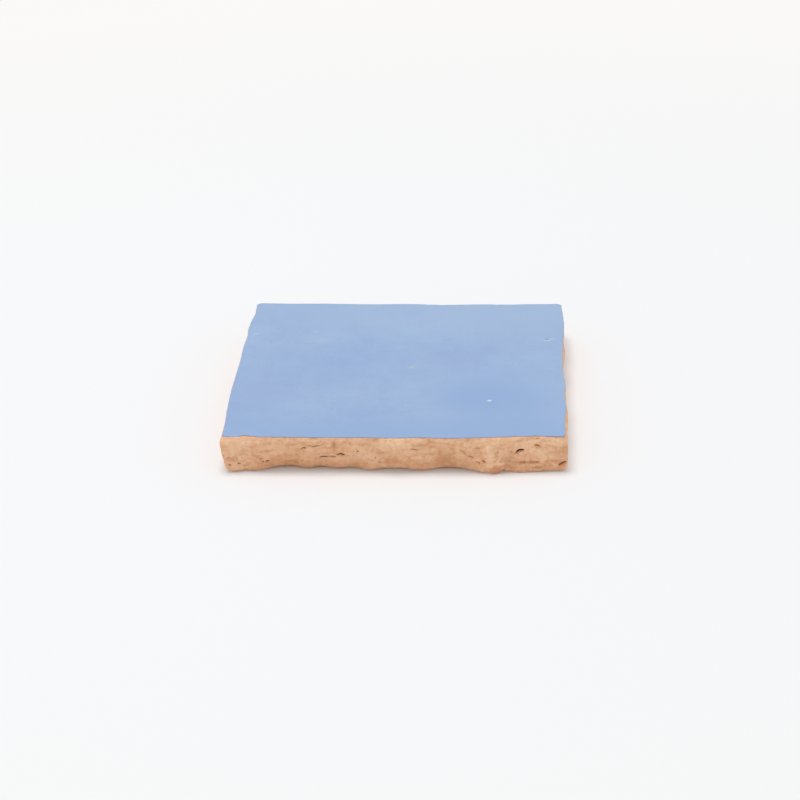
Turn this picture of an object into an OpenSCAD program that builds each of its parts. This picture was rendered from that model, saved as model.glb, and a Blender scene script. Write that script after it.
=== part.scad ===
// Hand-cut zellige tile: a body of fired clay with a coat of glaze on its face.
// All sizes are in millimetres. The back lies on z = 0 with the glazed face up, the front side
// faces -Y, and the origin is on the back, under the middle of the face.

/* [Tile] */
// Length of the glazed face, along X
face_length = 100; // [60:1:150]
// Width of the glazed face, along Y
face_width = 100; // [60:1:150]
// Thickness of the whole tile at the middle of its face
tile_thickness = 12; // [9:0.1:20]
// Thickness of the glaze coat
glaze_thickness = 0.5; // [0.3:0.05:1]

/* [Glazed face] */
// How far the middle of the face stands above its rim
face_crown = 0.1; // [0:0.05:0.8]
// Height of the beaten waves in the face
wave_height = 0.15; // [0:0.01:0.4]
// Length of the longest of these waves
wave_length = 70; // [30:1:150]
// Radius of the melted edge of the glaze
rim_radius = 0.4; // [0.2:0.05:0.8]

/* [Outline] */
// Radius of the two front corners
front_corner_radius = 0.8; // [0.3:0.1:5]
// Radius of the two back corners
back_corner_radius = 2; // [0.3:0.1:5]
// How far the worst corner is out of square
out_of_square = 0.9; // [0:0.1:2]
// How far the chiselled rim strays out of a straight line
rim_stray = 1; // [0:0.1:1.5]

/* [Chiselled sides] */
// How far the side leans in from the rim to the back
undercut = 0.2; // [0:0.1:2]
// How far the fullest part of a side swells out past the rim
side_swell = 0.9; // [0:0.1:1.5]
// Width of a full chisel bite along the back edge
bite_width = 20; // [10:1:40]
// How far a full bite cuts in at the back edge
bite_depth = 1.9; // [0:0.1:3]
// How far a full bite lifts the back edge off the floor
bite_lift = 1.4; // [0:0.1:2]
// Height of the back edge between bites
foot_rise = 0.1; // [0.1:0.1:1]
// How far the flat of the back stops short of its edge
foot_bevel = 1; // [0.4:0.1:3]

/* [Hidden] */

SIDE_STEPS = 56;
CORNER_STEPS = 4;
RIM_STEPS = 3;
// Length of side over which a corner bends the way outward
CORNER_REACH = 8;
// Heights of the rings up a side, as shares from the back edge to the rim
WALL_LEVELS = [0, 0.1, 0.25, 0.45, 0.65, 0.82, 0.94];
// Rings in from the rim of the face, as shares of the outline
FACE_RINGS = [0.94, 0.8, 0.62, 0.42, 0.2];
// How fast a bite fades from the back edge up to the rim
BITE_FADE = 1.4;
// How squarely a side swells: 2 is a round bow, and more is a fuller one
SWELL_POWER = 6;
// How softly a bite runs out: 1 leaves a sharp ridge between two bites, and more a worn one
BITE_EASE = 1.3;

// The four sides run anticlockwise from the front, seen from above: front, right, back, left.
// Stray of the rim out of line: [share of the side, share of rim_stray].
STRAY = [
    [[0, -0.1], [0.03, 0.2], [0.065, -0.3], [0.12, 0.4], [0.3, 0.8], [0.4, 0.7], [0.5, 1.1],
     [0.57, 0.9], [0.67, 1.3], [0.76, 1.2], [0.81, 0.9], [0.87, 0.4], [0.93, 0.1], [1, 0]],
    [[0, 0], [0.1, 0], [0.2, 0.4], [0.28, 0.2], [0.36, 0.6], [0.47, 0], [0.72, 0], [0.78, 0.2],
     [0.9, 0.1], [1, -0.3]],
    [[0, 0], [0.09, 0], [0.16, -0.4], [0.27, -0.2], [0.4, -0.7], [0.5, -0.4], [0.61, -0.7],
     [0.76, -0.4], [0.87, -0.4], [1, 0.1]],
    [[0, 0], [0.07, -0.2], [0.2, 0.7], [0.27, 0.4], [0.36, 0.7], [0.46, 0.6], [0.68, 0.9],
     [0.82, 0.6], [0.9, 0.2], [1, 0.1]]
];
// Swelling of the side: [share of the side, share of side_swell].
SWELL = [
    [[0, 0.8], [0.12, 0.7], [0.28, 0.3], [0.45, 0.5], [0.5, 1], [0.56, 0.6], [0.66, 0.2], [0.79, 0.9],
     [0.9, 0.6], [1, 0.8]],
    [[0, 1.2], [0.3, 0.9], [0.38, 0.3], [0.46, 0.5], [0.55, 0.2], [0.65, 0.9], [0.74, 0.2], [1, 0.3]],
    [[0, 0.3], [0.2, 0.6], [0.4, 0.2], [0.6, 0.8], [0.8, 0.3], [1, 0.2]],
    [[0, 0.2], [0.09, 0.7], [0.15, 0.3], [0.19, 0.7], [0.3, 0.2], [0.6, 0.4], [0.85, 0.3], [1, 1]]
];
// Chisel bites: [middle as a share of the side, share of bite_width, share of full depth].
BITES = [
    [[0.06, 0.8, 0.2], [0.19, 1.1, 1.05], [0.29, 0.8, 1], [0.375, 0.8, 0.88], [0.5, 0.95, 0.8],
     [0.663, 1.15, 0.92], [0.83, 0.3, 0.2], [0.99, 0.5, 0.28]],
    [[0.12, 0.8, 0.3], [0.3, 1, 0.9], [0.48, 0.9, 0.6], [0.63, 0.7, 1],
     [0.78, 1, 0.5], [0.95, 0.9, 0.8]],
    [[0.04, 0.8, 0.7], [0.2, 1.1, 0.5], [0.37, 0.8, 1], [0.52, 0.9, 0.6], [0.7, 1.2, 0.9],
     [0.86, 0.7, 0.4], [0.97, 0.7, 0.8]],
    [[0.03, 0.7, 0.8], [0.17, 1, 0.5], [0.33, 0.8, 0.9], [0.45, 0.6, 0.6], [0.6, 1.1, 1],
     [0.78, 0.9, 0.6], [0.96, 1, 0.95]]
];
// Corners out of square, as shares of out_of_square: front left, front right, back right, back left
CORNER_SHIFT = [[0, 0], [-0.2, 0.9], [-0.3, -0.6], [0, 0.9]];

SIDE_LENGTH = [face_length, face_width, face_length, face_width];
CORNER_RADIUS = [front_corner_radius, front_corner_radius, back_corner_radius, back_corner_radius];

function run(side) = [cos(90 * side), sin(90 * side)];
function out(side) = [sin(90 * side), -cos(90 * side)];
function next(side) = (side + 1) % 4;
function before(side) = (side + 3) % 4;
function corner(side) = -0.5 * (SIDE_LENGTH[side] * run(side) - SIDE_LENGTH[next(side)] * out(side));
function mix(a, b, t) = a + (b - a) * t;
function eased(t) = t * t * (3 - 2 * t);

// Value of a list of [share, value] points at a share of the side, eased from point to point
function along(points, share) =
    let (k = max([for (i = [0 : len(points) - 2]) if (i == 0 || points[i][0] <= share) i]),
         a = points[k],
         b = points[k + 1])
    mix(a[1], b[1], eased((share - a[0]) / (b[0] - a[0])));

// Depth of the deepest bite at a share of a side. A bite is a hollow with a round floor,
// so that two bites meet in a worn ridge.
function bite(side, share) =
    max([for (b = BITES[side])
        let (reach = (share - b[0]) * SIDE_LENGTH[side] / (b[1] * bite_width / 2))
        b[2] * pow(max(0, 1 - reach * reach), BITE_EASE)]);

// What the chisel left at one place: [stray, swell, bite]
function cut_at(side, share) =
    [rim_stray * along(STRAY[side], share), side_swell * along(SWELL[side], share), bite(side, share)];

// A station is a place on the true outline that knows the two sides it can be moved by:
// [point, way out of its own side, cut of that side, way out of the nearer neighbour, cut of the
// neighbour at the corner, bite that lifts the back edge]. Near a corner the neighbour's cut moves
// it more and more, so that an outline drawn in or swollen out keeps its corners, and the corner
// itself is lifted no more than by the shallower bite of its two sides.
function side_stations(side) =
    let (start = CORNER_RADIUS[side],
         straight = SIDE_LENGTH[side] - start - CORNER_RADIUS[next(side)])
    [for (k = [0 : SIDE_STEPS])
        let (far = straight * k / SIDE_STEPS,
             ahead = far > straight / 2,
             lean = max(0, 1 - (ahead ? straight - far : far) / CORNER_REACH),
             own = cut_at(side, (start + far) / SIDE_LENGTH[side]),
             end = cut_at(side, ahead ? 1 : 0),
             other = ahead ? cut_at(next(side), 0) : cut_at(before(side), 1))
        [corner(side) + run(side) * (start + far), out(side), own,
         lean * out(ahead ? next(side) : before(side)), other,
         mix(own[2], min(end[2], other[2]), lean * lean)]];

function corner_stations(side) =
    let (radius = CORNER_RADIUS[next(side)],
         middle = corner(next(side)) - radius * (run(side) + out(side)),
         own = cut_at(side, 1),
         other = cut_at(next(side), 0))
    [for (k = [1 : CORNER_STEPS - 1])
        let (turn = 90 * k / CORNER_STEPS)
        [middle + radius * (out(side) * cos(turn) + run(side) * sin(turn)), out(side), own,
         out(next(side)), other, min(own[2], other[2])]];

// Moves a station out by one distance for its own side and another for its neighbour
function moved(s, own, other) = skewed(s[0] + own * s[1] + other * s[3]);

STATIONS = [for (side = [0 : 3]) each concat(side_stations(side), corner_stations(side))];

// Moves a point of the true rectangle to where the out-of-square corners put it
function skewed(p) =
    let (u = p.x / face_length + 0.5, v = p.y / face_width + 0.5)
    p + out_of_square * mix(mix(CORNER_SHIFT[0], CORNER_SHIFT[1], u),
                            mix(CORNER_SHIFT[3], CORNER_SHIFT[2], u), v);

// Height of the glazed face: a low crown with three crossing waves
function face_height(p) =
    let (u = 2 * p.x / face_length, v = 2 * p.y / face_width, turn = 360 / wave_length)
    tile_thickness - face_crown * (u * u + v * v) / 2
    + wave_height * (0.5 * sin(turn * (p.x + 0.5 * p.y) + 40) - 0.5 * sin(40)
                     + 0.3 * sin(turn * (1.6 * p.y - 0.6 * p.x) + 200)
                     + 0.2 * sin(turn * (2.1 * p.x + 1.4 * p.y) + 90));

// Outline of the rim, drawn in to a share of its size
function outline(share = 1) = [for (s = STATIONS) share * moved(s, s[2][0], s[4][0])];

// A closed ring of points on the face, sunk below it by a depth
function face_ring(points, depth) = [for (p = points) [p.x, p.y, face_height(p) - depth]];

// How far a cut brings the side out, at a share of the height from the back edge to the rim
function side_offset(cut, share) =
    cut[0] + cut[1] * (1 - pow(abs(2 * share - 1), SWELL_POWER)) - undercut * pow(1 - share, 2)
    - bite_depth * cut[2] * pow(1 - share, BITE_FADE);

// A ring round the sides at that share of the height
function wall_ring(share) =
    [for (s = STATIONS)
        let (p = moved(s, side_offset(s[2], share), side_offset(s[4], share)))
        [p.x, p.y, mix(foot_rise + bite_lift * s[5], face_height(p) - glaze_thickness, share)]];

// The edge of the flat back, in from the back edge by the bevel and by what the bite lifted
function foot_offset(cut) = side_offset(cut, 0) - foot_bevel - bite_lift * cut[2];
function foot_ring() =
    [for (s = STATIONS)
        let (p = moved(s, foot_offset(s[2]), foot_offset(s[4])))
        [p.x, p.y, 0]];

// The face of the clay, which the glaze covers: from the rim in to its middle
CLAY_FACE = [for (share = concat([1], FACE_RINGS)) face_ring(outline(share), glaze_thickness)];
CLAY_MIDDLE = [0, 0, face_height([0, 0]) - glaze_thickness];

// Skins closed rings, one on the next, from a first point to a last one. The quads are split
// the same way whether the rings open or close, so that two skins on the same rings meet.
module skin(first, rings, last) {
    count = len(STATIONS);
    top = len(rings) * count + 1;
    function at(ring, k) = 1 + ring * count + k % count;
    function opens(ring) = norm(rings[ring + 1][0]) > norm(rings[ring][0]);
    faces = concat(
        [for (k = [0 : count - 1]) [0, at(0, k), at(0, k + 1)]],
        [for (r = [0 : len(rings) - 2], k = [0 : count - 1])
            let (a = at(r, k), b = at(r, k + 1), c = at(r + 1, k + 1), d = at(r + 1, k))
            each opens(r) ? [[a, d, b], [b, d, c]] : [[a, d, c], [a, c, b]]],
        [for (k = [0 : count - 1]) [at(len(rings) - 1, k), top, at(len(rings) - 1, k + 1)]]);
    polyhedron(concat([first], [for (ring = rings) each ring], [last]), faces, convexity = 4);
}

module clay_body() {
    color("#dcae8a")
        skin([0, 0, 0],
             concat([foot_ring()], [for (share = WALL_LEVELS) wall_ring(share)], CLAY_FACE),
             CLAY_MIDDLE);
}

module glaze() {
    rim = min(rim_radius, 0.9 * glaze_thickness);
    // The melted edge turns from the side into the face
    melted = [for (k = [0 : RIM_STEPS])
        let (turn = 90 * k / RIM_STEPS, inset = rim * (1 - cos(turn)))
        face_ring(outline(1 - 2 * inset / face_length), rim * (1 - sin(turn)))];
    face = [for (share = FACE_RINGS) face_ring(outline(share), 0)];
    under = [for (k = [len(CLAY_FACE) - 1 : -1 : 0]) CLAY_FACE[k]];
    color("#9fb7dc")
        skin(CLAY_MIDDLE, concat(under, melted, face), [0, 0, face_height([0, 0])]);
}

clay_body();
glaze();
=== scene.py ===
import random

import bpy
import numpy as np
from mathutils import Matrix, Vector, noise


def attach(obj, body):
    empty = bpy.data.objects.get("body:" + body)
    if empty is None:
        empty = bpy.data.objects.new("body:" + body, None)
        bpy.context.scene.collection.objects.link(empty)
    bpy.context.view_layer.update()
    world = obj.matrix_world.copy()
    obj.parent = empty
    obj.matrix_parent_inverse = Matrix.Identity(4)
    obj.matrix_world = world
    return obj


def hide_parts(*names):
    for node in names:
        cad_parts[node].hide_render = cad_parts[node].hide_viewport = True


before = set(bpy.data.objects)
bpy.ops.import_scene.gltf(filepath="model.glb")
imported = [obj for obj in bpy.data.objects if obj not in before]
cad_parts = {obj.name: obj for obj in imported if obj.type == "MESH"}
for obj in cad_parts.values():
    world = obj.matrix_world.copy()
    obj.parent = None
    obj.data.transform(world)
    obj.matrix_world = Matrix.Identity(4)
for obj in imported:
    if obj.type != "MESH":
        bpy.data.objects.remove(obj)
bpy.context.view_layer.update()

MM = 0.001

# The tile's sizes, in millimetres
FACE_LENGTH = 100.0
FACE_WIDTH = 100.0
TILE_THICKNESS = 12.0
GLAZE_THICKNESS = 0.5
FACE_CROWN = 0.1
WAVE_HEIGHT = 0.15
WAVE_LENGTH = 70.0
FRONT_CORNER_RADIUS = 0.8
BACK_CORNER_RADIUS = 2.0
OUT_OF_SQUARE = 0.9
RIM_STRAY = 1.0
UNDERCUT = 0.2
SIDE_SWELL = 0.9
SWELL_POWER = 6
BITE_WIDTH = 20.0
BITE_DEPTH = 1.9
BITE_LIFT = 1.4
BITE_FADE = 1.4
BITE_EASE = 1.3
# How far along a side wear has rounded the ridges between bites
RIDGE_WEAR = 1.6
FOOT_RISE = 0.1
FOOT_BEVEL = 1.0
# How much of the coat's edge shows above the clay, which rises to meet it
EDGE_SHOWN = 0.22
CORNER_REACH = 8.0

# The four sides run anticlockwise from the front, seen from above: front, right, back, left
STRAY = (
    ((0, -0.1), (0.03, 0.2), (0.065, -0.3), (0.12, 0.4), (0.3, 0.8), (0.4, 0.7), (0.5, 1.1),
     (0.57, 0.9), (0.67, 1.3), (0.76, 1.2), (0.81, 0.9), (0.87, 0.4), (0.93, 0.1), (1, 0)),
    ((0, 0), (0.1, 0), (0.2, 0.4), (0.28, 0.2), (0.36, 0.6), (0.47, 0), (0.72, 0), (0.78, 0.2),
     (0.9, 0.1), (1, -0.3)),
    ((0, 0), (0.09, 0), (0.16, -0.4), (0.27, -0.2), (0.4, -0.7), (0.5, -0.4), (0.61, -0.7),
     (0.76, -0.4), (0.87, -0.4), (1, 0.1)),
    ((0, 0), (0.07, -0.2), (0.2, 0.7), (0.27, 0.4), (0.36, 0.7), (0.46, 0.6), (0.68, 0.9),
     (0.82, 0.6), (0.9, 0.2), (1, 0.1)),
)
SWELL = (
    ((0, 0.8), (0.12, 0.7), (0.28, 0.3), (0.45, 0.5), (0.5, 1), (0.56, 0.6), (0.66, 0.2),
     (0.79, 0.9), (0.9, 0.6), (1, 0.8)),
    ((0, 1.2), (0.3, 0.9), (0.38, 0.3), (0.46, 0.5), (0.55, 0.2), (0.65, 0.9), (0.74, 0.2), (1, 0.3)),
    ((0, 0.3), (0.2, 0.6), (0.4, 0.2), (0.6, 0.8), (0.8, 0.3), (1, 0.2)),
    ((0, 0.2), (0.09, 0.7), (0.15, 0.3), (0.19, 0.7), (0.3, 0.2), (0.6, 0.4), (0.85, 0.3), (1, 1)),
)
BITES = (
    ((0.06, 0.8, 0.2), (0.19, 1.1, 1.05), (0.29, 0.8, 1), (0.375, 0.8, 0.88), (0.5, 0.95, 0.8),
     (0.663, 1.15, 0.92), (0.83, 0.3, 0.2), (0.99, 0.5, 0.28)),
    ((0.12, 0.8, 0.3), (0.3, 1, 0.9), (0.48, 0.9, 0.6), (0.63, 0.7, 1),
     (0.78, 1, 0.5), (0.95, 0.9, 0.8)),
    ((0.04, 0.8, 0.7), (0.2, 1.1, 0.5), (0.37, 0.8, 1), (0.52, 0.9, 0.6), (0.7, 1.2, 0.9),
     (0.86, 0.7, 0.4), (0.97, 0.7, 0.8)),
    ((0.03, 0.7, 0.8), (0.17, 1, 0.5), (0.33, 0.8, 0.9), (0.45, 0.6, 0.6), (0.6, 1.1, 1),
     (0.78, 0.9, 0.6), (0.96, 1, 0.95)),
)
CORNER_SHIFT = np.array(((0, 0), (-0.2, 0.9), (-0.3, -0.6), (0, 0.9)))

# Heights of the clay's fine relief, from its broad lumps down to its sand, and the depth of its tears
LUMP_HEIGHT = 0.2
TORN_HEIGHT = 0.13
CRUMB_HEIGHT = 0.1
SAND_HEIGHT = 0.045
TEAR_DEPTH = 0.14
# Depths of what the bench and the tool left in the back
HOLLOW_DEPTH = 0.35
SCRAPE_DEPTH = 0.2
PIT_DEPTH = 0.3
# Unevenness of the melted glaze, broad and fine
MELT_HEIGHT = 0.03
MELT_GRAIN = 0.008

# Stations along each side, and rings up it. The face and the back have half and a quarter as many
# rows and columns as there are stations.
STEPS = 400
WALL_RINGS = 44
BEVEL_RINGS = 3

# The camera, fitted to the photo: its lens in millimetres, its lift, swing and roll in degrees, and the
# place it looks at and how far off it stands, in millimetres
LENS = 110.03
LIFT_SWING_ROLL = (24.923, -3.445, -1.368)
LOOKS_AT = (0.804, -25.111, TILE_THICKNESS)
STANDS_OFF = 733.81
# The sky's strength, as it lights the tile and as it is seen
SKY_LIGHT = 0.6
SKY_SEEN = 0.94
# The soft box: size and place in metres, and watts
BOX_SIZE = 0.6
BOX_PLACE = (-0.14, 0.0, 1.42)
BOX_POWER = 10.3
# The floor's reach each way, and its drop below the tile, so that the two never coincide, in metres
FLOOR_REACH = 3
FLOOR_DROP = 0.00002

LENGTH = (FACE_LENGTH, FACE_WIDTH, FACE_LENGTH, FACE_WIDTH)
RADIUS = (FRONT_CORNER_RADIUS, FRONT_CORNER_RADIUS, BACK_CORNER_RADIUS, BACK_CORNER_RADIUS)
RUN = np.array(((1, 0), (0, 1), (-1, 0), (0, -1)), float)
OUT = np.array(((0, -1), (1, 0), (0, 1), (-1, 0)), float)


# ---- the form ----

def along(points, share):
    """Value of (share, value) points at shares of a side, eased from point to point."""
    at = np.array([p[0] for p in points], float)
    value = np.array([p[1] for p in points], float)
    k = np.clip(np.searchsorted(at, share, side="right") - 1, 0, len(at) - 2)
    t = (share - at[k]) / (at[k + 1] - at[k])
    return value[k] + (value[k + 1] - value[k]) * t * t * (3 - 2 * t)


def cut_at(side, share):
    """What the chisel left at shares of a side: stray, swell and bite."""
    share = np.asarray(share, float)
    bite = np.zeros_like(share)
    for slip in np.linspace(-RIDGE_WEAR, RIDGE_WEAR, 7):
        deepest = np.zeros_like(share)
        for middle, width, depth in BITES[side]:
            reach = ((share - middle) * LENGTH[side] + slip) / (width * BITE_WIDTH / 2)
            deepest = np.maximum(deepest, depth * np.maximum(0, 1 - reach * reach) ** BITE_EASE)
        bite += deepest / 7
    stray, swell = RIM_STRAY * along(STRAY[side], share), SIDE_SWELL * along(SWELL[side], share)
    return np.stack((stray, swell, bite), -1)


def corner(side):
    return -0.5 * (LENGTH[side] * RUN[side] - LENGTH[(side + 1) % 4] * OUT[side])


def stations():
    """Places round the true outline, each side from the middle of one corner to the next."""
    parts = []
    for side in range(4):
        after, before = (side + 1) % 4, (side + 3) % 4
        start, end = RADIUS[side], RADIUS[after]
        straight = LENGTH[side] - start - end
        t = np.linspace(-start * np.pi / 4, straight + end * np.pi / 4, STEPS, endpoint=False)
        far = np.clip(t, 0, straight)
        turn = np.where(t < 0, t / start, (t - far) / end)[:, None]
        radius = np.where(t < 0, start, np.where(t > straight, end, 0.0))[:, None]
        point = (corner(side) + RUN[side] * (start + far)[:, None]
                 + radius * (OUT[side] * (np.cos(turn) - 1) + RUN[side] * np.sin(turn)))
        ahead = far > straight / 2
        lean = np.maximum(0, 1 - np.where(ahead, straight - far, far) / CORNER_REACH)
        share = np.clip((start + t) / LENGTH[side], 0, 1)
        own = cut_at(side, share)
        other = np.where(ahead[:, None], cut_at(after, 0.0), cut_at(before, 1.0))
        last = np.where(ahead, cut_at(side, 1.0)[2], cut_at(side, 0.0)[2])
        lift = own[:, 2] + (np.minimum(last, other[:, 2]) - own[:, 2]) * lean ** 2
        parts.append(dict(
            point=point, out=np.tile(OUT[side], (STEPS, 1)), own=own,
            out2=lean[:, None] * np.where(ahead[:, None], OUT[after], OUT[before]), other=other,
            lift=lift, side=np.full(STEPS, side), far=start + t))
    return {key: np.concatenate([p[key] for p in parts]) for key in parts[0]}


S = stations()


def skewed(p):
    u, v = p[..., :1] / FACE_LENGTH + 0.5, p[..., 1:2] / FACE_WIDTH + 0.5
    low = CORNER_SHIFT[0] + (CORNER_SHIFT[1] - CORNER_SHIFT[0]) * u
    high = CORNER_SHIFT[3] + (CORNER_SHIFT[2] - CORNER_SHIFT[3]) * u
    return p + OUT_OF_SQUARE * (low + (high - low) * v)


def moved(own, other):
    """Moves the outline out by one distance for a station's own side and another for its neighbour."""
    return skewed(S["point"] + own[:, None] * S["out"] + other[:, None] * S["out2"])


def rim(inset):
    """The rim of the face, drawn in by a distance, which may differ from station to station."""
    return moved(S["own"][:, 0] - inset, S["other"][:, 0] - inset)


def face_height(p):
    """Height of the glazed face: a low crown with three crossing waves."""
    x, y = p[..., 0], p[..., 1]
    turn = 2 * np.pi / WAVE_LENGTH
    waves = (0.5 * np.sin(turn * (x + 0.5 * y) + np.radians(40)) - 0.5 * np.sin(np.radians(40))
             + 0.3 * np.sin(turn * (1.6 * y - 0.6 * x) + np.radians(200))
             + 0.2 * np.sin(turn * (2.1 * x + 1.4 * y) + np.radians(90)))
    crown = ((2 * x / FACE_LENGTH) ** 2 + (2 * y / FACE_WIDTH) ** 2) / 2
    return TILE_THICKNESS - FACE_CROWN * crown + WAVE_HEIGHT * waves


def at_height(p, z):
    return np.concatenate((p, np.broadcast_to(z, p.shape[:-1])[..., None]), -1)


def side_offset(cut, share):
    swollen = cut[:, 0] + cut[:, 1] * (1 - abs(2 * share - 1) ** SWELL_POWER)
    return swollen - UNDERCUT * (1 - share) ** 2 - BITE_DEPTH * cut[:, 2] * (1 - share) ** BITE_FADE


def wall_ring(share):
    p = moved(side_offset(S["own"], share), side_offset(S["other"], share))
    low = FOOT_RISE + BITE_LIFT * S["lift"]
    return at_height(p, low + (face_height(p) - GLAZE_THICKNESS - low) * share)


def foot_ring():
    own, other = (side_offset(S[k], 0) - FOOT_BEVEL - BITE_LIFT * S[k][:, 2] for k in ("own", "other"))
    return at_height(moved(own, other), 0.0)


# ---- fine relief ----

def grain(p, along_side, upward, shift=0.0):
    """Seeded noise at points, with lumps of a chosen length along the sides and upward."""
    return np.array([noise.noise(Vector((x / along_side, y / along_side, z / upward + shift)))
                     for x, y, z in p.reshape(-1, 3)]).reshape(p.shape[:-1])


def near_line(x, z, points):
    """Signed distance of points from a broken line, and the nearest place along it, from 0 to 1."""
    lengths = [np.hypot(b[0] - a[0], b[1] - a[1]) for a, b in zip(points[:-1], points[1:])]
    best, place, done = np.full(x.shape, 1e9), np.zeros(x.shape), 0.0
    for (x0, z0), (x1, z1), length in zip(points[:-1], points[1:], lengths):
        dx, dz = x1 - x0, z1 - z0
        t = np.clip(((x - x0) * dx + (z - z0) * dz) / max(length ** 2, 1e-9), 0, 1)
        d = np.hypot(x - x0 - t * dx, z - z0 - t * dz)
        closer = d < abs(best)
        best = np.where(closer, np.where(dx * (z - z0) < dz * (x - x0), -d, d), best)
        place = np.where(closer, (done + t * length) / max(sum(lengths), 1e-9), place)
        done += length
    return best, place


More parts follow.
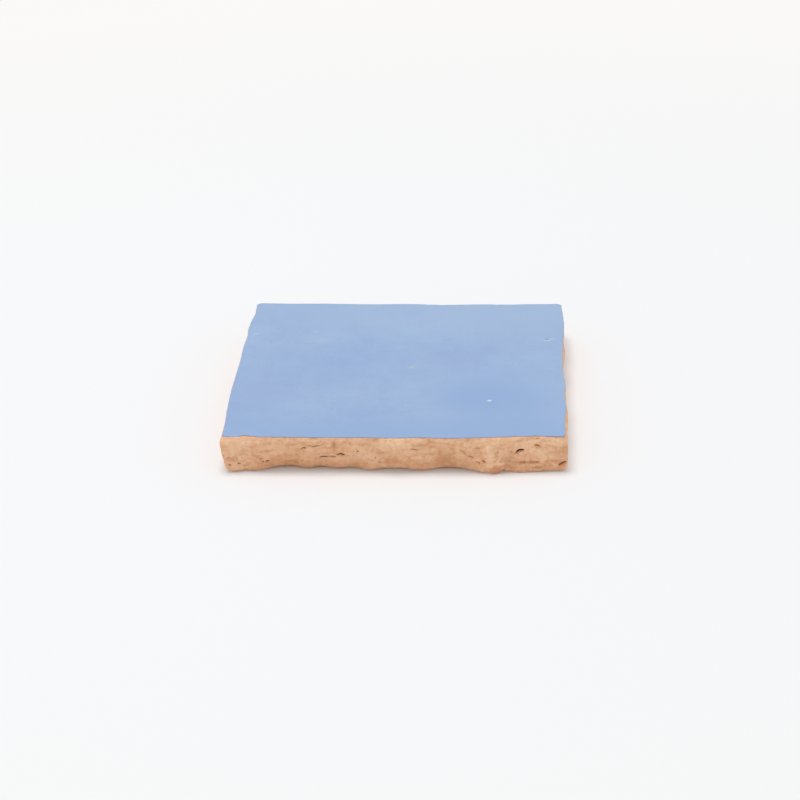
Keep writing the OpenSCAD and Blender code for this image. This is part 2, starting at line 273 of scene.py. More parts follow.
# Marks on the front side: broken line of places (distance from the middle, height), width, depth, kind
# and strength. A negative depth stands proud. Some stain marks are painted shade beside the ridge and
# in the scoops, and some pale marks are painted highlights on the ridge, the bulge and the foot.
FRONT_MARKS = (
    (((-50.3, 5.8), (-49.6, 5.6)), 0.2, 0.15, "crack", 0.4),
    (((-48.9, 5.3), (-47.8, 5.35)), 0.16, 0.15, "crack", 0.45),
    (((-48.5, 2.8), (-47.9, 2.5)), 0.26, 0.3, "crack", 0.6),
    (((-45.9, 3.1), (-45.4, 3.15), (-44.9, 3.0)), 0.24, 0.35, "crack", 0.85),
    (((-39.5, 4.6), (-38.9, 4.75), (-38.3, 4.7)), 0.2, 0.2, "crack", 0.45),
    (((-38.6, 3.75), (-38.0, 3.7)), 0.26, 0.3, "crack", 0.8),
    (((-37.6, 3.65), (-37.1, 3.85), (-36.5, 3.8)), 0.3, 0.5, "crack", 1.0),
    (((-31.0, 8.3), (-30.4, 8.2)), 0.2, 0.2, "crack", 0.45),
    (((-29.5, 2.8), (-27.7, 2.75)), 0.2, 0.2, "crack", 0.5),
    (((-27.2, 8.0), (-26.3, 8.25), (-25.5, 8.3)), 0.28, 0.3, "crack", 0.65),
    (((-26.8, 3.9), (-26.6, 3.4)), 0.22, 0.2, "crack", 0.5),
    (((-25.4, 8.9), (-23.4, 9.05)), 0.2, 0.25, "crack", 0.45),
    (((-23.8, 9.05), (-22.6, 8.8), (-21.4, 8.75)), 0.26, 0.35, "crack", 0.7),
    (((-21.7, 8.7), (-20.9, 9.3), (-20.4, 10.0)), 0.16, 0.15, "crack", 0.35),
    (((-21.8, 5.0), (-19.2, 5.15)), 0.3, 0.5, "crack", 0.85),
    (((-19.5, 5.2), (-18.0, 5.4), (-16.7, 5.3)), 0.26, 0.4, "crack", 0.75),
    (((-16.7, 6.2), (-15.4, 6.2), (-14.2, 5.7)), 0.36, 0.5, "crack", 0.95),
    (((-13.9, 5.7), (-13.2, 5.7)), 0.18, 0.1, "crack", 0.4),
    (((-10.9, 8.3), (-10.5, 7.8)), 0.14, 0.1, "crack", 0.5),
    (((-10.5, 7.6), (-10.2, 6.95)), 0.3, 0.35, "crack", 0.9),
    (((-5.5, 5.4), (-5.0, 5.3)), 0.26, 0.25, "crack", 0.6),
    (((-4.4, 3.7), (-3.6, 3.45)), 0.22, 0.25, "crack", 0.5),
    (((4.9, 8.2), (6.2, 8.15), (7.4, 8.0)), 0.26, 0.35, "crack", 0.6),
    (((19.0, 8.0), (20.3, 7.4), (21.4, 6.3)), 0.18, 0.15, "crack", 0.4),
    (((21.5, 6.1), (22.5, 5.6), (23.4, 5.3)), 0.26, 0.35, "crack", 0.55),
    (((24.0, 8.6), (25.3, 8.65)), 0.28, 0.25, "crack", 0.4),
    (((23.9, 4.1), (24.8, 3.8), (25.4, 3.4)), 0.28, 0.3, "crack", 0.5),
    (((25.9, 4.8), (26.8, 3.9)), 0.34, 0.35, "crack", 0.55),
    (((29.4, 4.4), (29.9, 4.2)), 0.28, 0.2, "crack", 0.4),
    (((30.3, 7.5), (30.6, 7.0)), 0.28, 0.2, "crack", 0.45),
    (((30.9, 4.3), (31.5, 4.3)), 0.26, 0.2, "crack", 0.4),
    (((31.5, 5.2), (31.9, 5.1)), 0.26, 0.2, "crack", 0.4),
    (((31.7, 0.9), (32.7, 0.8)), 0.3, 0.3, "crack", 0.8),
    (((34.8, 6.2), (35.4, 6.5), (35.9, 6.9)), 0.15, 0.2, "crack", 0.4),
    (((35.7, 6.8), (36.3, 7.3), (36.9, 7.6), (38.1, 7.6)), 0.32, 0.8, "crack", 1.35),
    (((41.1, 9.1), (41.9, 9.0), (42.8, 8.8)), 0.26, 0.35, "crack", 0.8),
    (((41.1, 3.8), (42.4, 3.8)), 0.2, 0.2, "crack", 0.5),
    (((41.4, 11.2), (42.6, 11.35)), 0.2, 0.1, "crack", 0.5),
    (((45.2, 2.6), (46.7, 2.4)), 0.2, 0.2, "crack", 0.5),
    (((48.0, 2.3), (49.2, 3.0), (50.7, 3.7)), 0.46, 0.6, "crack", 0.75),
    (((-47.4, 5.5), (-46.9, 4.4), (-46.2, 3.4)), 0.25, 0.15, "stain_and_shade", 0.25),
    (((-46.4, 5.6), (-46.0, 4.6), (-45.6, 3.9)), 0.3, 0.15, "stain_and_shade", 0.3),
    (((-45.5, 5.7), (-43.8, 6.2), (-42.6, 5.8)), 0.24, 0.14, "stain_and_shade", 0.3),
    (((-45.4, 7.0), (-43.8, 7.3), (-42.4, 7.0)), 0.35, 0.1, "stain_and_shade", 0.15),
    (((-41.8, 7.1), (-40.8, 6.2)), 0.4, 0.12, "stain_and_shade", 0.25),
    (((-37.8, 7.3), (-35.8, 7.2)), 0.5, 0.15, "stain_and_shade", 0.25),
    (((-38.2, 2.4), (-35.8, 2.4)), 0.7, 0.1, "stain_and_shade", 0.35),
    (((-31.2, 3.6), (-28.4, 3.4)), 0.4, 0.15, "stain_and_shade", 0.3),
    (((-28.9, 6.1), (-27.9, 6.0)), 0.4, 0.1, "stain_and_shade", 0.3),
    (((-17.3, 10.5), (-17.2, 8.4)), 0.45, 0.3, "stain_and_shade", 0.45),
    (((-7.7, 9.8), (-6.1, 9.5)), 0.6, 0.1, "stain_and_shade", 0.3),
    (((-5.1, 7.6), (-3.3, 7.0)), 0.8, 0.1, "stain_and_shade", 0.28),
    # Painted shade in the scoop under the bulge, with the fresh mark of the same line further down
    (((-2.6, 4.7), (1.6, 4.4)), 1.6, 0.3, "stain_and_shade", 0.1),
    (((5.4, 9.1), (9.7, 9.3)), 0.8, 0.15, "stain_and_shade", 0.24),
    (((12.0, 3.7), (18.6, 3.5)), 1.1, 0.1, "stain_and_shade", 0.2),
    (((31.2, 5.8), (35.0, 5.6)), 0.9, 0.1, "stain_and_shade", 0.2),
    # Painted shade on the ridge's right flank
    (((29.8, 7.6), (30.1, 5.0)), 0.6, 0.25, "stain_and_shade", 0.2),
    (((31.6, 4.4), (34.0, 3.9), (37.0, 3.8)), 0.9, 0.1, "stain_and_shade", 0.25),
    (((28.2, 2.2), (30.7, 1.9)), 0.45, 0.1, "stain_and_shade", 0.35),
    (((27.8, 1.4), (29.6, 1.2), (31.6, 0.9)), 0.8, 0.0, "stain_and_shade", 0.4),
    (((36.5, 3.6), (39.1, 3.6)), 0.5, 0.4, "stain_and_shade", 0.6),
    (((38.7, 3.55), (42.4, 3.7)), 0.42, 0.3, "stain_and_shade", 0.45),
    (((40.1, 1.7), (43.7, 1.7)), 0.4, 0.15, "stain_and_shade", 0.35),
    (((-50.4, 11.2), (-47.0, 11.3), (-44.0, 11.3), (-40.8, 11.4), (-34.5, 11.3)),
     0.28, 0.0, "fresh", 0.42),
    (((-50.0, 5.3), (-49.8, 5.1)), 0.35, 0.0, "fresh", 0.8),
    (((-40.2, 5.6), (-39.4, 5.0)), 0.45, 0.1, "fresh", 0.4),
    (((-28.3, 8.2), (-26.8, 7.2)), 0.5, 0.0, "fresh", 0.25),
    (((-16.2, 5.4), (-14.2, 5.2)), 0.35, 0.0, "fresh", 0.35),
    (((-2.0, 2.9), (-0.8, 2.7)), 0.36, 0.1, "fresh", 0.5),
    (((-2.6, 4.7), (1.6, 4.4)), 1.5, 0.0, "fresh", 0.22),
    (((-1.4, 10.6), (0.6, 10.9)), 0.45, 0.0, "fresh", 0.2),
    (((24.8, 5.4), (25.8, 4.9)), 0.4, 0.0, "fresh", 0.25),
    (((25.4, 7.8), (25.9, 5.6)), 0.5, 0.25, "fresh", 0.45),
    (((26.0, 5.5), (26.1, 5.0)), 0.36, 0.1, "fresh", 0.5),
    (((34.2, 7.3), (34.9, 7.1)), 0.3, 0.0, "fresh", 0.35),
    (((36.0, 6.4), (36.5, 6.2)), 0.32, 0.0, "fresh", 0.55),
    (((33.0, 7.4), (31.6, 6.8)), 0.9, 0.0, "fresh", 0.16),
    (((28.0, 1.5), (29.4, 0.7), (31.2, 0.9)), 0.9, -0.5, "fresh", 0.8),
    (((48.7, 2.2), (50.2, 2.6)), 0.42, 0.1, "fresh", 0.85),
    (((-47.9, 1.9), (-43.4, 1.7)), 0.4, 0.0, "pale", 0.3),
    (((-44.8, 8.6), (-42.6, 8.8)), 0.9, -0.1, "pale", 0.2),
    (((-21.8, 4.6), (-19.2, 4.65)), 0.24, -0.1, "pale", 0.35),
    # Painted highlight along the foot of the wall
    (((-21.5, 2.4), (-19.5, 2.4)), 0.22, 0.0, "pale", 0.6),
    (((-5.0, 3.3), (-3.2, 2.7), (-1.5, 2.3)), 0.24, -0.2, "pale", 0.4),
    # Painted highlight on the bulge
    (((-2.0, 10.0), (1.0, 9.4), (3.4, 9.8)), 1.3, -0.25, "pale", 0.12),
    # Painted highlight on the ridge
    (((27.3, 9.4), (27.9, 7.2), (28.0, 4.2), (28.7, 2.2)), 0.8, -0.6, "pale", 0.15),
    (((34.8, 1.9), (37.4, 2.3)), 0.7, 0.0, "pale", 0.2),
)
# Paler and darker areas of the front side, partly the clay's own tone and partly painted light on the
# bulges and painted shade in the scoops: place (distance from the middle, height), reach, strength
FRONT_TONE_AND_SHADING = (
    ((1.5, 10.0), (5.0, 2.0), 0.35), ((-45.0, 9.5), (6.0, 2.5), 0.25), ((28.4, 7.0), (1.6, 6.0), 0.2),
    ((14.0, 3.0), (8.0, 2.4), -0.5), ((-31.0, 3.6), (7.0, 1.8), -0.3), ((34.0, 5.2), (4.0, 2.0), -0.3),
    ((-40.0, 2.6), (6.0, 1.8), -0.3), ((11.0, 9.6), (6.0, 1.6), -0.1), ((-24.0, 6.6), (4.5, 1.4), 0.25),
    ((45.5, 7.0), (4.0, 3.0), -0.25), ((38.0, 2.0), (6.0, 1.2), -0.05), ((-7.0, 6.6), (4.0, 2.0), 0.2),
    ((33.0, 9.2), (3.5, 1.6), -0.25), ((1.5, 4.0), (4.5, 2.0), -0.1), ((-42.0, 6.2), (4.0, 1.8), 0.2),
    ((-10.0, 9.6), (5.0, 1.6), 0.2), ((1.0, 9.4), (4.5, 2.0), 0.15), ((-32.0, 9.6), (5.0, 1.6), 0.12),
)


def other_marks(side):
    """Cracks, pits, stains and torn places of the same kinds for a side that the photo doesn't show."""
    pick = random.Random(40 + side)
    marks = []
    for _ in range(12):
        x, z = pick.uniform(-46, 46), pick.uniform(2.5, 10)
        line = [(x, z)]
        for _ in range(pick.choice((1, 2, 3, 3))):
            x, z = x + pick.uniform(0.6, 1.5), z + pick.uniform(-0.4, 0.4)
            line.append((x, z))
        width, depth = pick.uniform(0.18, 0.36), pick.uniform(0.2, 0.55)
        strength = pick.uniform(0.4, 1.0)
        marks.append((line, width, depth, "crack", strength))
    for _ in range(14):
        x, z = pick.uniform(-48, 48), pick.uniform(2, 10)
        depth, strength = pick.uniform(0.2, 0.35), pick.uniform(0.4, 0.8)
        marks.append((((x, z), (x + 0.5, z - 0.15)), 0.26, depth, "crack", strength))
    for kind, count in (("stain_and_shade", 9), ("fresh", 6), ("pale", 5)):
        for _ in range(count):
            x, z = pick.uniform(-47, 47), pick.uniform(1.5, 9)
            line = ((x, z), (x + pick.uniform(1, 4), z + pick.uniform(-0.4, 0.4)))
            width, depth = pick.uniform(0.3, 0.8), pick.uniform(-0.1, 0.25)
            strength = pick.uniform(0.2, 0.45)
            marks.append((line, width, depth, kind, strength))
    return marks


def clay_marks(p):
    """Depth of the marks at points of the clay's sides, and the masks of each kind.

    The mask "across" holds where a point lies across the nearest crack, in halves of its width."""
    depth = np.zeros(p.shape[:-1])
    masks = {key: np.zeros(p.shape[:-1]) for key in ("crack", "stain_and_shade", "fresh", "pale")}
    masks["across"] = np.full(p.shape[:-1], 4.0)
    wobble = 0.3 * grain(p, 1.5, 1.5, 50) + 0.12 * grain(p, 0.5, 0.5, 51)
    for side in range(4):
        on = S["side"] == side
        x = p[:, on, 0] * RUN[side][0] + p[:, on, 1] * RUN[side][1]
        z = p[:, on, 2] + wobble[:, on]
        for line, width, deep, kind, strength in (FRONT_MARKS if side == 0 else other_marks(side)):
            d, place = near_line(x, z, line)
            ends = np.sqrt(np.maximum(0, np.sin(np.pi * place)))
            taper = 0.35 + 0.65 * ends
            w = np.exp(-((d / (max(width, 0.26) * taper)) ** 2)) * taper
            depth[:, on] += deep * w
            if kind == "crack":
                across = np.clip(d / (0.65 * width * np.maximum(ends, 0.1)), -4, 4)
                closer = abs(across) < abs(masks["across"][:, on])
                masks["across"][:, on] = np.where(closer, across, masks["across"][:, on])
                w = np.clip(4 - abs(across), 0, 1)
            masks[kind][:, on] = np.maximum(masks[kind][:, on], strength * w)
    return depth, masks


def normals(p):
    """Outward normals of a net of closed rings."""
    round_it = np.roll(p, -1, 1) - np.roll(p, 1, 1)
    upward = np.gradient(p, axis=0)
    n = np.cross(round_it, upward)
    return n / np.maximum(np.linalg.norm(n, axis=-1, keepdims=True), 1e-9)


# ---- nets and meshes ----

def patch(ring):
    """A square net of points inside a closed ring, whose border is the ring."""
    n = len(ring) // 4
    u = np.linspace(0, 1, n + 1)[:, None, None]
    v = np.linspace(0, 1, n + 1)[None, :, None]
    front, right = ring[:n + 1], ring[n:2 * n + 1]
    back = ring[2 * n:3 * n + 1][::-1]
    left = np.concatenate((ring[3 * n:], ring[:1]))[::-1]
    return ((1 - v) * front[:, None] + v * back[:, None] + (1 - u) * left[None] + u * right[None]
            - (1 - u) * (1 - v) * front[0] - u * (1 - v) * front[-1]
            - (1 - u) * v * back[0] - u * v * back[-1])


def from_border(net):
    """How many rows each point of a square net is from its border."""
    n = len(net) - 1
    k = np.minimum(np.arange(n + 1), np.arange(n + 1)[::-1])
    return np.minimum(k[:, None], k[None])


class Skin:
    """A closed mesh of rings of points and square nets, with masks that hold a value for each point."""

    def __init__(self, masks):
        self.points, self.faces, self.used = [], [], 0
        self.masks = {key: [] for key in masks}

    def put(self, points, masks):
        first, self.used = self.used, self.used + len(points)
        self.points.append(points)
        for key, parts in self.masks.items():
            parts.append(np.broadcast_to(masks.get(key, 0.0), (len(points),)))
        return first + np.arange(len(points))

    def tube(self, rings, masks):
        """Rings on one another, and the first and the last of them."""
        count = rings.shape[1]
        index = self.put(rings.reshape(-1, 3), {key: m.reshape(-1) for key, m in masks.items()})
        index = index.reshape(len(rings), count)
        after = np.roll(index, -1, 1)
        quad = np.stack((index[:-1], after[:-1], after[1:], index[1:]), -1).reshape(-1, 4)
        self.faces += quad.tolist()
        return index[0], index[-1]

    def halved(self, ring, points, masks, upward):
        """Joins a ring to points half as many, laid just inside it."""
        inner = self.put(points, masks)
        outer, middle, after = ring[::2], ring[1::2], np.roll(ring[::2], -1)
        inner_after = np.roll(inner, -1)
        for corners in ((outer, middle, inner), (middle, inner_after, inner),
                        (middle, after, inner_after)):
            self.faces += np.stack(corners if upward else corners[::-1], -1).tolist()
        return inner

    def net(self, ring, net, masks, upward):
        """Closes a ring with a square net whose border it is."""
        n = len(ring) // 4
        index = np.zeros((n + 1, n + 1), int)
        inside = {key: m[1:-1, 1:-1].reshape(-1) for key, m in masks.items()}
        index[1:-1, 1:-1] = self.put(net[1:-1, 1:-1].reshape(-1, 3), inside).reshape(n - 1, n - 1)
        index[:, 0], index[-1, :] = ring[:n + 1], ring[n:2 * n + 1]
        index[:, -1] = ring[2 * n:3 * n + 1][::-1]
        index[0, :] = np.concatenate((ring[3 * n:], ring[:1]))[::-1]
        corners = (index[:-1, :-1], index[1:, :-1], index[1:, 1:], index[:-1, 1:])
        quad = np.stack(corners, -1).reshape(-1, 4)
        self.faces += (quad if upward else quad[:, ::-1]).tolist()

    def lid(self, ring, upward):
        self.faces.append((ring if upward else ring[::-1]).tolist())

    def build(self, name):
        mesh = bpy.data.meshes.new(name)
        mesh.from_pydata((np.concatenate(self.points) * MM).tolist(), [], self.faces)
        for key, parts in self.masks.items():
            mask = mesh.attributes.new(key, "FLOAT", "POINT")
            mask.data.foreach_set("value", np.concatenate(parts).astype(np.float32))
        mesh.shade_smooth()
        piece = bpy.data.objects.new(name, mesh)
        bpy.context.scene.collection.objects.link(piece)
        return piece


# Chips in the rim of the glaze: side, distance along it, width, depth
RIM_CHIPS = (
    (0, 6.6, 1.3, 0.4), (0, 9.6, 0.6, 0.12), (0, 13.6, 0.5, 0.1), (0, 47.0, 0.5, 0.06),
    (0, 85.6, 0.5, 0.1), (0, 91.5, 0.7, 0.2), (0, 93.8, 0.4, 0.15), (1, 31.0, 0.8, 0.12),
    (1, 72.0, 0.6, 0.15), (2, 21.0, 0.7, 0.2), (2, 39.0, 1.1, 0.2), (2, 43.5, 0.6, 0.2),
    (2, 66.0, 0.8, 0.15), (3, 8.2, 0.9, 0.15), (3, 18.6, 0.8, 0.2), (3, 61.0, 0.5, 0.15),
)
# Where the rim stands further out, in the same terms: first the glaze, then the clay under it
RIM_RUNS = ((0, 99.5, 5.0, 0.2), (1, 1.0, 10.0, 0.2), (1, 20.0, 15.0, 0.25), (1, 69.0, 8.0, 0.25),
            (1, 85.0, 12.0, 0.6), (1, 99.5, 3.0, 0.35), (2, 0.5, 3.0, 0.35))
CLAY_RUNS = ((1, 67.0, 9.0, 0.35), (1, 84.0, 10.0, 0.42), (1, 99.5, 4.0, 0.28), (2, 0.5, 3.0, 0.25))


def along_rim(places):
    """The sum of chips or runs at each station of the rim."""
    total = np.zeros(4 * STEPS)
    for side, far, width, size in places:
        total += (S["side"] == side) * size * np.exp(-((S["far"] - far) / width) ** 2)
    return total


def pooled(p):
    """How deeply the glaze pooled at points of the face; below 0 it is thin."""
    return sum(strength * np.exp(-((p[..., 0] - x) / reach_x) ** 2 - ((p[..., 1] - y) / reach_y) ** 2)
               for x, y, reach_x, reach_y, strength in POOLS)


def coat_height(p):
    """Height of the coat's own face, with the slight unevenness of the melt."""
    return face_height(p) + MELT_HEIGHT * grain(p, 13, 13, 4) + MELT_GRAIN * grain(p, 2.2, 2.2, 8)


def make_clay():
    """The clay body: chiselled sides with torn marks, a worn foot and a flat, sandy back."""
    foot = foot_ring()
    arris = wall_ring(0)
    bevel = [foot + (arris - foot) * t for t in np.linspace(0, 1, BEVEL_RINGS, endpoint=False)]
    wall = [wall_ring(share) for share in np.linspace(0, 1, WALL_RINGS)]
    band = []
    for inset in (0.5, 0.9, 2.5):
        p = rim(inset)
        band.append(at_height(p, face_height(p) - GLAZE_THICKNESS))
    rings = np.array(bevel + wall + band)
    # Under the rim the clay rises to meet the thin edge of the glaze
    near_rim = np.clip(np.linspace(0, 1, WALL_RINGS) * 6 - 5, 0, 1)[:, None]
    rings[BEVEL_RINGS:BEVEL_RINGS + WALL_RINGS, :, 2] += (GLAZE_THICKNESS - EDGE_SHOWN) * near_rim ** 2
    # Wear rounds the foot and the chiselled arris
    worn = BEVEL_RINGS + 5
    for _ in range(2):
        rings[1:worn] = (rings[:worn - 1] + 2 * rings[1:worn] + rings[2:worn + 1]) / 4

    top = BEVEL_RINGS + WALL_RINGS - 1
    way = normals(rings)
    way[0] = (0, 0, 1)
    way[top + 1:] = (0, 0, 1)
    share = np.clip((np.arange(len(rings)) - BEVEL_RINGS) / (WALL_RINGS - 1), 0, 1)[:, None]
    lumps = grain(rings, 7, 4)
    torn = grain(rings, 3.2, 1.3, 9)
    crumbs = grain(rings, 1.4, 1.0, 21)
    sand = grain(rings, 0.55, 0.45, 27)
    tears = (np.maximum(0, 1 - np.abs(grain(rings, 6.5, 0.9, 33)) / 0.07)
             * np.clip(grain(rings, 5, 2.5, 60) * 4 - 0.6, 0, 1))
    relief = (LUMP_HEIGHT * lumps + TORN_HEIGHT * torn + CRUMB_HEIGHT * crumbs + SAND_HEIGHT * sand
              - TEAR_DEPTH * tears)
    depth, masks = clay_marks(rings)
    shape = (relief - depth) * np.clip((1 - share) * 9, 0, 1)
    shape[0] = 0.02 * crumbs[0]
    # Where the glaze is chipped, the clay under it stands up to the chip
    chips = along_rim(RIM_CHIPS) * np.array((0.7, 0.2, 0.0))[:, None]
    shape[top + 1:] = -0.04 - 0.04 * crumbs[top + 1:] + chips
    rings = rings + way * shape[..., None]
    rings[1:top + 1, :, :2] += along_rim(CLAY_RUNS)[:, None] * S["out"]
    rings[..., 2] = np.maximum(rings[..., 2], 0)
    masks["stain_and_shade"] = np.maximum(masks["stain_and_shade"], 0.25 * tears * (share < 0.97))
    masks["fresh"][top:] = np.maximum(masks["fresh"][top:], 0.3)
    # Painted shade under the undercut: a mask strongest at the foot of the bites, fading up the wall
    bite = S["lift"][None] * (1 - share) ** 1.5
    # Painted shade: the tone darkens towards the foot of each wall and where marks cut in, and painted
    # light pales the marks that stand proud
    tone = 0.44 + 0.28 * share + 0.45 * lumps + 0.5 * torn + 0.55 * crumbs + 0.35 * sand
    tone -= 0.9 * np.minimum(depth, 0.5)
    on = S["side"] == 0
    # Painted light and shade on the front's bulges and scoops, with patches of the clay's own tone
    for (x, z), (reach_x, reach_z), strength in FRONT_TONE_AND_SHADING:
        near = ((rings[:, on, 0] - x) / reach_x) ** 2 + ((rings[:, on, 2] - z) / reach_z) ** 2
        tone[:, on] += strength * np.exp(-near)
    masks.update(tone=np.clip(tone, 0, 1), bite=bite)

    skin = Skin(masks)
    low, high = skin.tube(rings, masks)
    masks = {"tone": 0.5, "bite": 0.3}
    ring = rings[0]
    for inset in (0.6, 1.3):
        ring = ring[::2] * np.array((1 - inset / 50, 1 - inset / 50, 1))
        low = skin.halved(low, ring, masks, upward=False)
    back = patch(ring)
    edge = np.clip(from_border(back) / 2, 0, 1)
    hollow = np.clip(grain(back, 16, 16, 5) + 0.1, 0, 1) * HOLLOW_DEPTH
    scrape = np.clip(grain(back * (0.35, 1.3, 1), 3.4, 3.4, 12), 0, 1) * SCRAPE_DEPTH
    pits = np.clip(grain(back, 2.2, 2.2, 3) - 0.1, 0, 1) * PIT_DEPTH
    back[..., 2] = (hollow + scrape + pits) * edge
    even = np.ones(edge.shape)
    # Painted shade: the back's tone darkens where it is hollowed
    skin.net(low, back, {"tone": 0.5 * even - back[..., 2], "bite": 0.3 * even}, upward=False)
    skin.lid(high, upward=True)
    return skin.build("clay_body_cut")


# Marks in the glaze: place on the face, half length, half width, height, mask and its strength. The
# white marks are painted highlights on bumps and pits, and the dark marks painted shade in dents.
FACE_MARKS = (
    (27.6, -25.3, 0.55, 0.4, 0.05, "pale", 1.0),
    (28.0, -26.2, 0.5, 0.4, -0.1, "dent_shade", 0.25),
    (45.1, 20.0, 0.9, 0.4, 0.02, "pale", 0.4),
    (46.6, 21.0, 0.6, 0.4, 0.02, "pale", 0.25),
    (45.0, 21.0, 0.55, 0.45, -0.08, "dent_shade", 0.7),
    (3.1, -1.2, 0.75, 0.4, 0.0, "warm", 0.9),
    (-28.8, 26.8, 0.85, 0.5, 0.03, "pale", 0.22),
    (-26.0, 19.6, 3.0, 1.8, 0.0, "pale", 0.07),
    (-47.6, 25.0, 0.6, 0.5, 0.02, "pale", 0.22),
    (-19.5, -31.0, 0.5, 0.5, -0.05, "dent_shade", 0.2),
    (14.4, 20.2, 0.5, 0.45, -0.04, "dent_shade", 0.22),
    (6.0, 22.5, 0.6, 0.45, 0.01, "pale", 0.1),
    (36.0, -39.0, 0.5, 0.45, -0.05, "dent_shade", 0.15),
)
# Where the glaze pooled thicker and deeper in colour, or thinner: place, reach each way, strength
POOLS = ((24, -23, 14, 12, 1.0), (0, -47, 60, 9, 0.7), (40, -30, 16, 25, 0.5), (-30, -20, 22, 20, -0.1),
         (42, 42, 22, 16, -0.9), (-10, 45, 60, 14, -0.5), (-20, 0, 16, 12, 0.25), (8, 18, 18, 10, 0.2))


def make_glaze():
    """The glaze coat: a melted, slightly chipped edge and a face with the marks of its firing, whose
    masks hold painted highlights on bumps and pits and painted shade in dents.
    """
    chips = along_rim(RIM_CHIPS)
    runs = along_rim(RIM_RUNS)
    p = at_height(rim(0), 0.0)
    jitter = 0.08 * grain(p, 3.0, 1, 2) + 0.06 * grain(p, 0.9, 1, 7)
    sag = 0.06 * grain(p, 4.0, 1, 15) + 0.05 * grain(p, 1.2, 1, 19)
    rings = []
    # Inset, depth and looseness, from the hidden underside round the melted edge to the face
    for inset, deep, loose in (
            (3.0, GLAZE_THICKNESS, 0), (0.9, GLAZE_THICKNESS, 0), (0.04, 0.24, 1), (-0.02, 0.2, 1),
            (-0.03, 0.14, 1), (0.0, 0.07, 1), (0.06, 0.025, 1), (0.14, 0.005, 0.9), (0.4, 0.0, 0.6)):
        q = at_height(rim(inset + (chips - jitter - runs) * loose), 0.0)
        q[..., 2] = coat_height(q) - deep + (sag * loose if 0.1 < deep < 0.3 else 0)
        rings.append(q)
    rings = np.array(rings)
    skin = Skin(("rim", "pale", "dent_shade", "warm", "pool"))
    shown = np.repeat(np.array((0, 0, 1, 1, 0.9, 0.75, 0.6, 0.4, 0))[:, None], 4 * STEPS, 1)
    low, high = skin.tube(rings, {"rim": shown, "pool": pooled(rings)})
    skin.lid(low, upward=False)
    ring = at_height(rim(0.9)[::2], 0.0)
    ring[..., 2] = coat_height(ring)
    high = skin.halved(high, ring, {"pool": pooled(ring)}, upward=True)

    net = patch(ring)
    x, y = net[..., 0], net[..., 1]
    masks = {key: np.zeros(x.shape) for key in ("pale", "dent_shade", "warm")}
    masks["pool"] = pooled(net)
    net[..., 2] = 0
    height = coat_height(net)
    for mx, my, half, narrow, rise, key, strength in FACE_MARKS:
        w = np.exp(-((x - mx) / half) ** 2 - ((y - my) / narrow) ** 2)
        height += rise * w
        masks[key] = np.maximum(masks[key], strength * w)
    pick = random.Random(7)
    for _ in range(70):
        mx, my, size = pick.uniform(-48, 48), pick.uniform(-48, 48), pick.uniform(0.4, 0.7)
        w = np.exp(-((x - mx) ** 2 + (y - my) ** 2) / size ** 2)
        # Small dents, with painted shade in them
        height -= pick.uniform(0.01, 0.035) * w
        masks["dent_shade"] = np.maximum(masks["dent_shade"], pick.uniform(0.03, 0.1) * w)
    net[..., 2] = height
    skin.net(high, net, masks, upward=True)
    return skin.build("glaze_coat")


# ---- finishes ----

def rgb(r, g, b):
    """A colour as it is seen, from 0 to 255, in the form that the shaders take."""
    def linear(c):
        c /= 255
        return c / 12.92 if c <= 0.04045 else ((c + 0.055) / 1.055) ** 2.4
    return (linear(r), linear(g), linear(b), 1.0)


def grey(value):
    return (value, value, value, 1.0)


class Nodes:
    """Adds nodes to a tree and links them."""

    def __init__(self, tree):
        self.tree = tree

    def add(self, kind, values=None, **settings):
        node = self.tree.nodes.new(kind)
        for key, value in settings.items():
            setattr(node, key, value)
        for key, value in (values or {}).items():
            if isinstance(value, bpy.types.NodeSocket):
                self.tree.links.new(value, node.inputs[key])
            else:
                node.inputs[key].default_value = value
        return node

    def mix(self, factor, a, b):
        """Colour b laid over colour a by a factor."""
        node = self.tree.nodes.new("ShaderNodeMix")
        node.data_type = "RGBA"
        for socket, value in ((node.inputs[0], factor), (node.inputs[6], a), (node.inputs[7], b)):
            if isinstance(value, bpy.types.NodeSocket):
                self.tree.links.new(value, socket)
            else:
                socket.default_value = value
        return node.outputs[2]

    def math(self, kind, a, b=0.0):
        return self.add("ShaderNodeMath", {0: a, 1: b}, operation=kind).outputs[0]

    def ramp(self, value, stops):
        node = self.add("ShaderNodeValToRGB", {"Fac": value})
        line = node.color_ramp
        while len(line.elements) < len(stops):
            line.elements.new(0.5)
        for element, (at, colour) in zip(line.elements, stops):
            element.position, element.color = at, colour
        return node.outputs["Color"]

    def mask(self, name):
        return self.add("ShaderNodeAttribute", attribute_name=name).outputs["Fac"]

    def spread(self, value, low, high, at_low=0.0, at_high=1.0, **settings):
        """Spreads the range of a value over another range."""
        return self.add("ShaderNodeMapRange", {"Value": value, "From Min": low, "From Max": high,
                                               "To Min": at_low, "To Max": at_high},
                        **settings).outputs["Result"]

    def place(self):
        return self.add("ShaderNodeTexCoord").outputs["Object"]

    def stretched(self, stretch):
        """Places on the tile, scaled each way."""
        return self.add("ShaderNodeVectorMath", {0: self.place(), 1: stretch},
                        operation="MULTIPLY").outputs[0]


